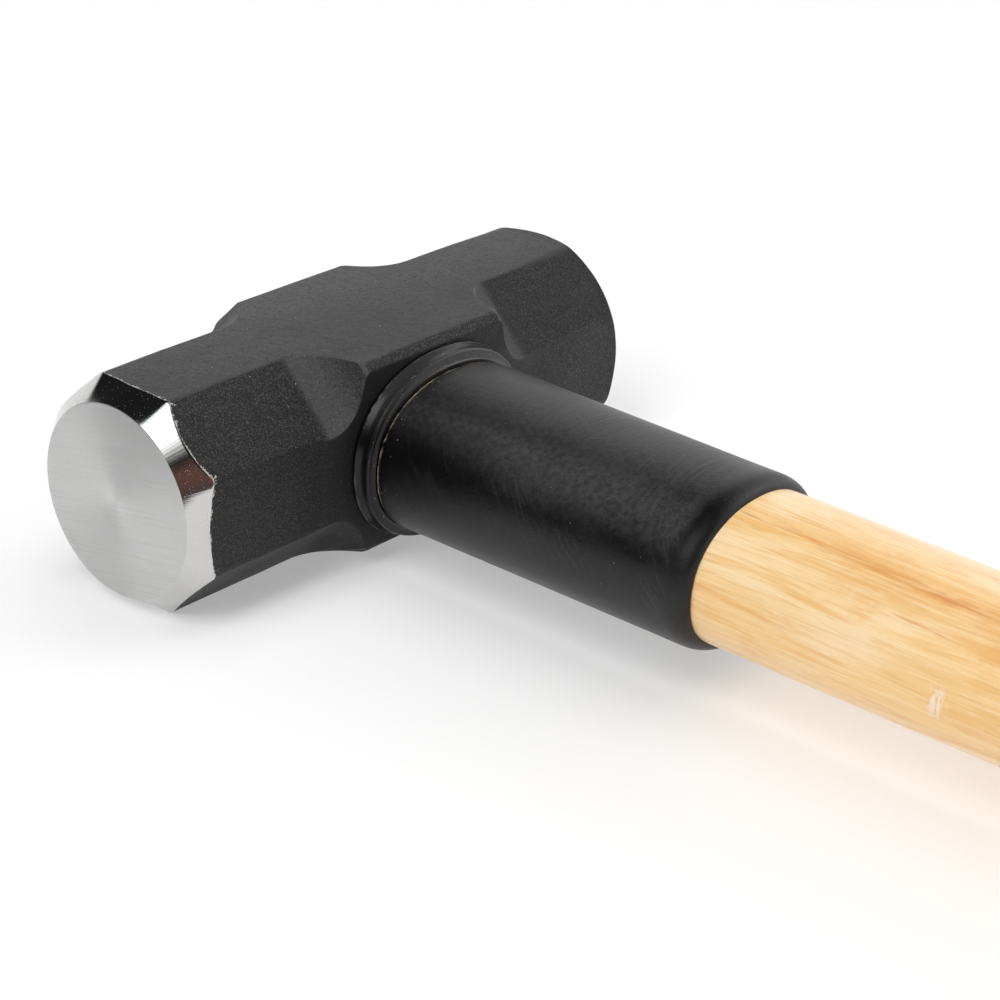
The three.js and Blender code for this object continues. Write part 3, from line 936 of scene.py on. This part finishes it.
def wedge_steel():
    g = Graph("wedge_steel")
    mill = g.noise(g.stretch(200, 900, 200), 1, 3, 0.6)
    rust = g.ramp(g.noise(g.place, 300, 4, 0.65), 0.55, 0.7)
    base = g.mix(mill, (0.30, 0.30, 0.30), (0.44, 0.43, 0.42))
    base = g.mix(g.times(rust, 0.5), base, (0.22, 0.12, 0.07))
    return g.finish(
        Base_Color=base,
        Metallic=g.blend(rust, 1.0, 0.5),
        Roughness=g.blend(rust, 0.34, 0.6),
        Normal=g.bump(mill, 0.00006),
    )


# ---- Pieces -------------------------------------------------------------------------------


def place(piece, node, slot_name, *materials):
    for material in materials:
        piece.data.materials.append(material)
    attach(piece, "root")
    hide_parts(node)


BEVEL, DISC = 1, 2  # the head's materials, after the coating


def paint_head(head):
    """Gives the bevels and the discs their own steel, and notes where the bevels end."""
    edges = {}
    for sign in (-1, 1):
        outline = end_outline(sign)
        turn = np.arctan2(outline[:, 1], outline[:, 0])
        order = np.argsort(turn)
        edges[sign] = (turn[order], bevel_edge(outline, sign)[order])

    def behind(place_):
        turns, edge_x = edges[1 if place_.x > 0 else -1]
        turn = math.atan2(place_.z - MIDDLE, place_.y)
        return np.interp(turn, turns, edge_x, period=math.tau) - abs(place_.x)

    distance = head.data.attributes.new(BEHIND_BEVEL, "FLOAT", "POINT")
    distance.data.foreach_set("value", [behind(v.co) for v in head.data.vertices])
    for face in head.data.polygons:
        if abs(face.center.x) > FACE_X - 0.02 * MM:
            face.material_index = DISC
        elif behind(face.center) < 0.5 * RIM:
            face.material_index = BEVEL


def all_pieces():
    head = forged_head()
    place(head, "hammer_head", "head_coating", powder_coat(), bevel_steel(), disc_steel())
    paint_head(head)
    haft = hickory_handle()
    place(haft, "handle", "hickory", hickory(), end_grain())
    for face in haft.data.polygons:
        face.material_index = int(abs(face.normal.y) > 0.9)
    place(moulded_collar(), "collar_ring", "collar_rubber", collar_rubber())
    place(rubber_sleeve(), "overstrike_sleeve", "sleeve_rubber", sleeve_rubber())
    place(driven_wedge("wood_wedge", "driven_wood_wedge"), "wood_wedge", "wedge_wood", wedge_wood())
    steel = wedge_steel()
    for number in (1, 2):
        node = f"steel_wedge_{number}"
        place(driven_wedge(node, f"driven_steel_wedge_{number}"), node, "wedge_steel", steel)


all_pieces()

# ---- Stage --------------------------------------------------------------------------------


HEAD_CENTRE = Vector((0, 0, MIDDLE))
CAMERA_PLACE = (-8.14182692, -7.7320552, 5.03575576)  # from the head's centre, in head widths
CAMERA_HEADING = (50.147, -26.080)  # the azimuth and elevation that it looks along, and its roll
CAMERA_ROLL = 2.489
CAMERA_LENS = 95.587


def heading(azimuth, elevation):
    """The direction at that azimuth, from +Y towards +X, and elevation, in degrees."""
    a, e = math.radians(azimuth), math.radians(elevation)
    return Vector((math.sin(a) * math.cos(e), math.cos(a) * math.cos(e), math.sin(e)))


def put_round_head(obj, azimuth, elevation, distance):
    """Places it in that direction from the head's centre, and turns its -Z to the head."""
    place_ = HEAD_CENTRE + heading(azimuth, elevation) * distance
    obj.location = place_
    obj.rotation_mode = "QUATERNION"
    obj.rotation_quaternion = (HEAD_CENTRE - place_).to_track_quat("-Z", "Y")


def softbox(name, azimuth, elevation, distance, width, height, radiance):
    light = bpy.data.lights.new(name, "AREA")
    light.shape = "RECTANGLE"
    light.size, light.size_y = width, height
    light.energy = radiance * math.pi * width * height
    obj = bpy.data.objects.new(name, light)
    bpy.context.scene.collection.objects.link(obj)
    put_round_head(obj, azimuth, elevation, distance)
    obj.visible_camera = False
    return obj


def camera():
    """Above the left of the grip, tilted a little."""
    data = bpy.data.cameras.new("camera")
    data.lens = CAMERA_LENS
    data.sensor_width = 36
    obj = bpy.data.objects.new("camera", data)
    bpy.context.scene.collection.objects.link(obj)
    obj.location = HEAD_CENTRE + WIDTH * Vector(CAMERA_PLACE)
    level = heading(*CAMERA_HEADING).to_track_quat("-Z", "Y")
    obj.rotation_mode = "QUATERNION"
    obj.rotation_quaternion = level @ Quaternion((0, 0, 1), math.radians(CAMERA_ROLL))
    bpy.context.scene.camera = obj


def card(name, half_width, half_height):
    w, h = half_width, half_height
    return mesh_object(name, [(-w, -h, 0), (w, -h, 0), (w, h, 0), (-w, h, 0)], [(0, 1, 2, 3)])


def hide_from_all_but_gloss(obj):
    obj.visible_camera = False
    obj.visible_diffuse = False
    obj.visible_shadow = False


def pale_floor():
    """Just under the hammer. It glows more further out, to meet the white background."""
    floor = card("floor", 6.0, 6.0)
    floor.location.z = -0.2 * MM
    g = Graph("pale_floor")
    away = g.vector("LENGTH", g.place)
    g.finish(Base_Color=(0.62, 0.62, 0.62), Roughness=0.7)
    g.finish(Emission_Color=(1.0, 1.0, 1.0), Emission_Strength=g.ramp(away, 0.9, 3.0, 0.36, 1.0))
    floor.data.materials.append(g.material)


def dark_card(name, half_width, half_height, low, high):
    """A card that only the gloss sees, of one colour below and another above."""
    dark = card(name, half_width, half_height)
    g = Graph(name)
    colour = g.mix(g.ramp(g.y, -0.12, 0.06), low, high)
    g.finish(Base_Color=(0.0, 0.0, 0.0), Emission_Color=colour, Emission_Strength=1.0, Roughness=1.0)
    g.finish(Specular_IOR_Level=0.0)
    dark.data.materials.append(g.material)
    hide_from_all_but_gloss(dark)
    return dark


def dark_cards():
    """One behind the camera, and one on the floor beyond the near striking face."""
    standing = dark_card("brown_card", 0.33, 0.26, (0.085, 0.062, 0.060), (0.165, 0.078, 0.064))
    put_round_head(standing, -133, 13.5, 1.05)
    half_width, half_length = 0.80, 0.70
    lying = dark_card("floor_card", half_width, half_length, (0.07, 0.07, 0.07), (0.05, 0.05, 0.05))
    lying.location = (-0.21 - half_width, half_length, 1 * MM)


def glow_card(name, azimuth, elevation, distance, half_width, half_height, radiance, fades):
    """A soft-edged light that only the gloss sees; fades are its left, right and low edges."""
    glow = card(name, half_width, half_height)
    g = Graph(name)
    left = g.ramp(g.x, half_width, half_width - fades[0])
    right = g.ramp(g.x, -half_width, fades[1] - half_width)
    low = g.ramp(g.y, -half_height, fades[2] - half_height)
    strength = g.times(left, right, low, radiance)
    tint = g.mix(right, (0.72, 0.92, 1.0), (1.0, 1.0, 1.0))
    g.finish(Base_Color=(0.0, 0.0, 0.0), Emission_Color=tint, Emission_Strength=strength)
    g.finish(Specular_IOR_Level=0.0, Roughness=1.0)
    glow.data.materials.append(g.material)
    hide_from_all_but_gloss(glow)
    put_round_head(glow, azimuth, elevation, distance)


def world():
    """White to a little above the horizon and higher behind the right, dark overhead, and plain
    white as a background."""
    made = bpy.data.worlds.new("studio")
    bpy.context.scene.world = made
    made.use_nodes = True
    sky = Nodes(made.node_tree)
    direction = sky.node("ShaderNodeTexCoord").outputs["Generated"]
    height = sky.split(direction)[2]
    side = sky.vector("DOT_PRODUCT", direction, heading(100, 0))
    fade = sky.ramp(sky.math("MULTIPLY_ADD", side, -0.5, height), 0.16, 0.52, 1.0, 0.015)
    seen = sky.node("ShaderNodeLightPath").outputs["Is Camera Ray"]
    background = sky.tree.nodes["Background"]
    sky.put(background.inputs["Strength"], sky.math("MAXIMUM", fade, seen))
    sky.put(background.inputs["Color"], (1, 1, 1))


camera()
pale_floor()
dark_cards()
world()
# The key's gloss comes from a soft-edged card in its place, and the overhead light has none.
softbox("key", -97, 48, 3.0, 1.65, 2.12, 6.0).visible_glossy = False
glow_card("key_glow", -102, 47, 3.0, 1.10, 1.06, 3.2, (1.35, 0.50, 0.75))
softbox("overhead", 90, 80, 4.0, 3.0, 3.0, 2.2).visible_glossy = False
softbox("fill", 115, 40, 4.0, 2.5, 2.5, 1.5)
bpy.context.scene.view_settings.view_transform = "Standard"
